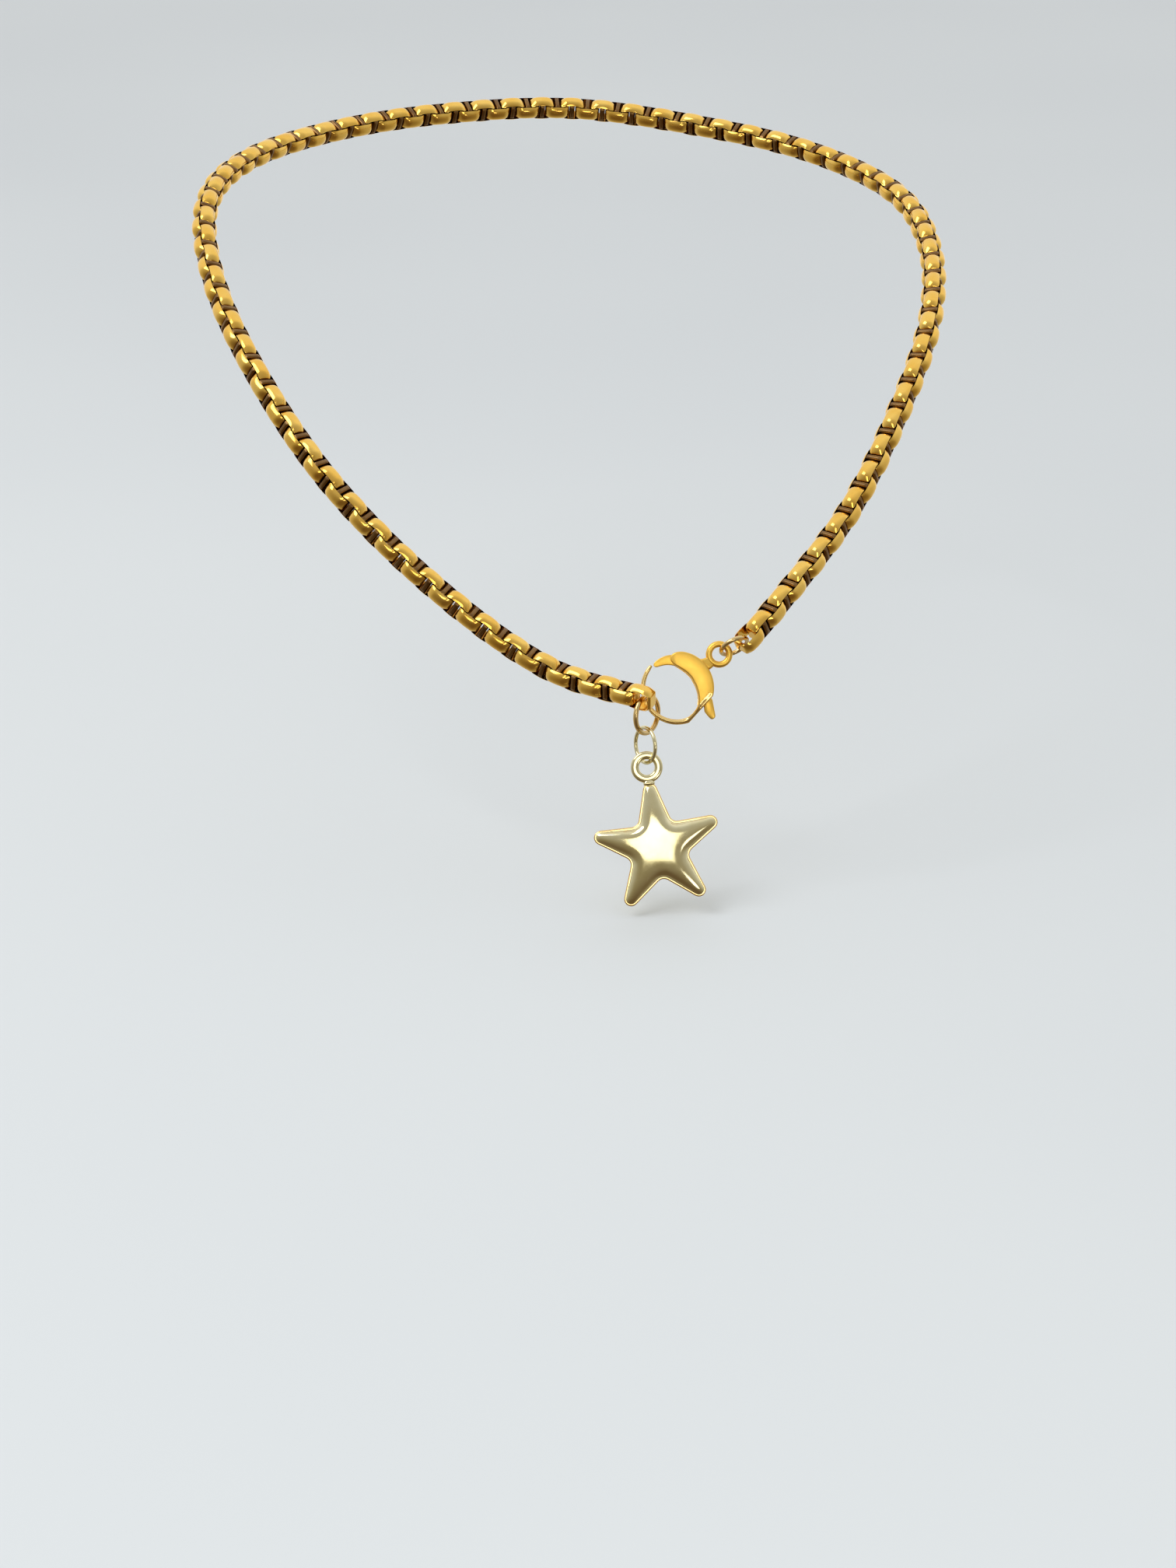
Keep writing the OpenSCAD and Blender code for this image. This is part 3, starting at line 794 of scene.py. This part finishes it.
def star_outline(arc=8, straight=9):
    """The rounded star's outline in mm, listed anticlockwise from its top point."""
    arm = math.radians(HALF_ANGLE)
    corner_r = STAR_R + TIP_R * (1 / math.sin(arm) - 1)
    dip = corner_r * math.sin(arm) / math.sin(math.radians(36 + HALF_ANGLE))
    # ten sharp corners, tips and dips by turns, which arcs then round off
    corners = []
    for k in range(10):
        a = math.radians(90 + 36 * k)
        corners.append((corner_r if k % 2 == 0 else dip) * np.array([math.cos(a), math.sin(a)]))
    arcs = []
    for k in range(10):
        b = corners[k]
        u, v = corners[k - 1] - b, corners[(k + 1) % 10] - b
        u, v = u / np.linalg.norm(u), v / np.linalg.norm(v)
        half = math.acos(u @ v) / 2
        r = TIP_R if k % 2 == 0 else DIP_R
        middle = b + (u + v) / np.linalg.norm(u + v) * r / math.sin(half)
        first = b + u * r / math.tan(half) - middle
        last = b + v * r / math.tan(half) - middle
        turn = math.pi - 2 * half
        arcs.append([middle + (first * math.sin(turn * (1 - t)) + last * math.sin(turn * t))
                     / math.sin(turn) for t in np.linspace(0, 1, arc)])
    outline = []
    for k in range(10):
        start, end = arcs[k][-1], arcs[(k + 1) % 10][0]
        outline += arcs[k]
        outline += [start + (end - start) * t for t in np.linspace(0, 1, straight + 2)[1:-1]]
    return np.array(outline)


def puffed(outline, places):
    """Height, from 0 at the outline to 1 in the middle, of a sheet held at the outline and
    blown up. It rounds over near the outline and falls gently towards the arms' tips."""
    cell = PUFF_CELL
    low = outline.min(axis=0) - 2 * cell
    size = ((outline.max(axis=0) + 2 * cell - low) / cell).astype(int) + 1
    x = low[0] + cell * np.arange(size[0])[:, None] + np.zeros(size)
    y = low[1] + cell * np.arange(size[1])[None, :] + np.zeros(size)
    inside = np.zeros(size, bool)
    for (ax, ay), (bx, by) in zip(outline, np.roll(outline, -1, axis=0)):
        if ay != by:
            inside ^= ((ay > y) != (by > y)) & (x < (bx - ax) * (y - ay) / (by - ay) + ax)
    height = np.zeros(size)
    # each point settles near the mean of its four neighbours
    stiff = 4 + (cell / SHOULDER) ** 2
    for _ in range(PUFF_STEPS):
        around = height[:-2, 1:-1] + height[2:, 1:-1] + height[1:-1, :-2] + height[1:-1, 2:]
        blown = (around + cell * cell) / stiff
        height[1:-1, 1:-1] = np.where(inside[1:-1, 1:-1], blown, 0)
    height = (height / height.max()) ** PUFF_POWER
    height *= 1 - ARM_FALL * (x * x + y * y) / STAR_R ** 2
    at = (places - low) / cell
    i, f = np.floor(at).astype(int), at - np.floor(at)
    i = np.clip(i, 0, np.array(size) - 2)
    value = 0
    for dx in (0, 1):
        for dy in (0, 1):
            weight = np.abs(1 - dx - f[:, 0]) * np.abs(1 - dy - f[:, 1])
            value = value + weight * height[i[:, 0] + dx, i[:, 1] + dy]
    return np.clip(value, 0, 1)


def star_place(points):
    """Points of the star's own frame, in mm, as points of the CAD frame in metres."""
    return to_world(np.asarray(points) @ STAR_AXES + STAR_MIDDLE)


def add_star_half(node, side):
    """The front shell, or with side -1 the back shell: a rim and a puffed face inside it."""
    outline = star_outline()
    rim = [np.column_stack([inset(outline, d), np.full(len(outline), z)]) for d, z in RIM]
    edge = rim[-1][:, :2]
    places = np.concatenate([edge * share for share in FACE_SHARES])
    border = inset(outline, RIM_INSET)
    lift, base = (PUFF_RISE * puffed(border, spots) for spots in (places, edge))
    face = np.column_stack([places, RIM_RISE + lift])
    inner = np.split(face, len(FACE_SHARES))
    rim[-1][:, 2] = RIM_RISE + base
    points, faces = loft(rim + inner)
    points[:, 2] *= side
    piece = add_mesh(node + "_fine", star_place(points), faces, STAR_GOLD, sharp=60)
    # the rim bands take the warmer rim colour, a painted reflection along the edge
    piece.data.materials.append(STAR_RIM_REFLECTION)
    for polygon in piece.data.polygons[:len(outline) * RIM_BANDS]:
        polygon.material_index = 1
    stand_for(piece, node)


def add_star_bail():
    ring = ring_shape(BAIL_AT, BAIL_R, BAIL_HALF_W, BAIL_HALF_T, squareness=BAIL_SQUARENESS)
    collar = [[(x, y, z) for x, z, _ in rounded_box_row(half_w, half_t, COLLAR_CORNER, 0, 5)]
              for y, half_w, half_t in COLLAR]
    points, faces = joined([ring, loft(collar)])
    piece = add_mesh("star_bail_fine", star_place(points), faces, STAR_GOLD)
    stand_for(piece, "star_bail")


def star_frame():
    """Middle of the star in the chest frame, from its CAD halves, and its axes there."""
    points = np.concatenate([[v.co[:] for v in frame["nodes"][node].data.vertices]
                             for node in ("star_front", "star_back")])
    points = to_chest(points)
    c, s = math.cos(math.radians(STAR_TURN)), math.sin(math.radians(STAR_TURN))
    axes = np.array([(c, s, 0), (-s, c, 0), (0, 0, 1)])
    own = points @ axes.T
    middle = (own.min(axis=0) + own.max(axis=0)) / 2
    middle[1] = own[:, 1].max() - STAR_R
    return middle @ axes, axes


STAR_MIDDLE, STAR_AXES = star_frame()


# ---------------------------------------------------------------- stage
FLOOR_BELOW = 0.002
FLOOR_SIZE = 3.0
FLOOR_PATCH_SCALE = 3
FLOOR_TONES = [(NOISE_LOW, (0.72, 0.76, 0.79)), (NOISE_HIGH, (0.76, 0.80, 0.825))]
FLOOR_ROUGHNESS = 0.75
# place, target, size, power in watts and colour of each soft light
LIGHTS = {
    "front": ((0.0, -0.80, 0.19), (0.016, -0.16, -0.1), (0.23, 0.2), 0.32, (1.0, 0.97, 0.82)),
    "key": ((-0.55, -0.45, 0.75), (0, -0.1, -0.05), (0.6, 0.5), 3.0, (0.97, 0.98, 1.0)),
    "window": ((0.23, -0.71, -0.03), (0.02, -0.155, -0.08), (0.18, 0.13), 0.16,
               (1.0, 1.0, 0.98)),
}
# the world's brightness, the place of its tones (a level, a share of the height and a share of
# the distance behind), and the tones from towards the viewer and below to above and behind
WORLD_STRENGTH = 0.9
WORLD_LEVEL = 0.5
WORLD_UP = 0.32
WORLD_BACK = 0.38
WORLD_TONES = [(0.04, (0.17, 0.12, 0.07)), (0.22, (0.34, 0.30, 0.21)), (0.36, (0.50, 0.48, 0.42)),
               (0.55, (0.62, 0.62, 0.60)), (0.80, (1.0, 1.0, 1.0))]


def add_floor():
    """A plain pale floor just below the star."""
    low = CAD_BOX[0][2] - FLOOR_BELOW
    size = FLOOR_SIZE
    points = [(-size, -size, low), (size, -size, low),
              (size, size * 2, low), (-size, size * 2, low)]
    material, tree, shader = node_material("floor")
    color = ramp(tree, noise(tree, FLOOR_PATCH_SCALE, 2), FLOOR_TONES)
    tree.links.new(color, shader.inputs["Base Color"])
    shader.inputs["Roughness"].default_value = FLOOR_ROUGHNESS
    floor = add_mesh("floor", points, [(0, 1, 2, 3)], material)
    floor.visible_glossy = False


def add_area(name, place, target, size, power, color):
    data = bpy.data.lights.new(name, "AREA")
    data.shape = "RECTANGLE"
    data.size, data.size_y = size
    data.energy = power
    data.color = color
    light = bpy.data.objects.new(name, data)
    light.location = place
    aim = Vector(target) - Vector(place)
    light.rotation_euler = aim.to_track_quat("-Z", "Y").to_euler()
    light.visible_camera = False
    bpy.context.scene.collection.objects.link(light)


def add_world():
    """Pale above and behind, darker towards the viewer and below."""
    world = bpy.data.worlds.new("studio")
    bpy.context.scene.world = world
    world.use_nodes = True
    tree = world.node_tree
    background = tree.nodes["Background"]
    place = add_node(tree, "ShaderNodeTexCoord")
    split = add_node(tree, "ShaderNodeSeparateXYZ")
    tree.links.new(place.outputs["Generated"], split.inputs["Vector"])
    height = add_node(tree, "ShaderNodeMath", {1: WORLD_UP, 2: WORLD_LEVEL},
                      operation="MULTIPLY_ADD")
    tree.links.new(split.outputs["Z"], height.inputs[0])
    behind = add_node(tree, "ShaderNodeMath", {1: WORLD_BACK}, operation="MULTIPLY_ADD")
    tree.links.new(split.outputs["Y"], behind.inputs[0])
    tree.links.new(height.outputs["Value"], behind.inputs[2])
    sky = ramp(tree, behind.outputs["Value"], WORLD_TONES)
    tree.links.new(sky, background.inputs["Color"])
    background.inputs["Strength"].default_value = WORLD_STRENGTH


add_camera()
add_chain()
add_wire_ring("end_ring", RING_GOLD, (-0.3, 0.2, -1))
add_wire_ring("clasp_jump_ring", RING_GOLD, (0.2, -0.3, -1))
add_wire_ring("pendant_ring", STAR_GOLD, (-0.2, 0.1, -1))
add_clasp_body()
add_clasp_lever()
add_star_half("star_front", 1)
add_star_half("star_back", -1)
add_star_bail()
# the pin and the spring keep their CAD shape
for cad_node, own_material in (("clasp_pin", CLASP_GOLD), ("clasp_spring", SPRING_STEEL)):
    cad = frame["nodes"][cad_node]
    cad.data.materials.clear()
    cad.data.materials.append(own_material)
add_floor()
add_world()
for light_name, light_settings in LIGHTS.items():
    add_area(light_name, *light_settings)
bpy.context.scene.view_settings.view_transform = "Standard"
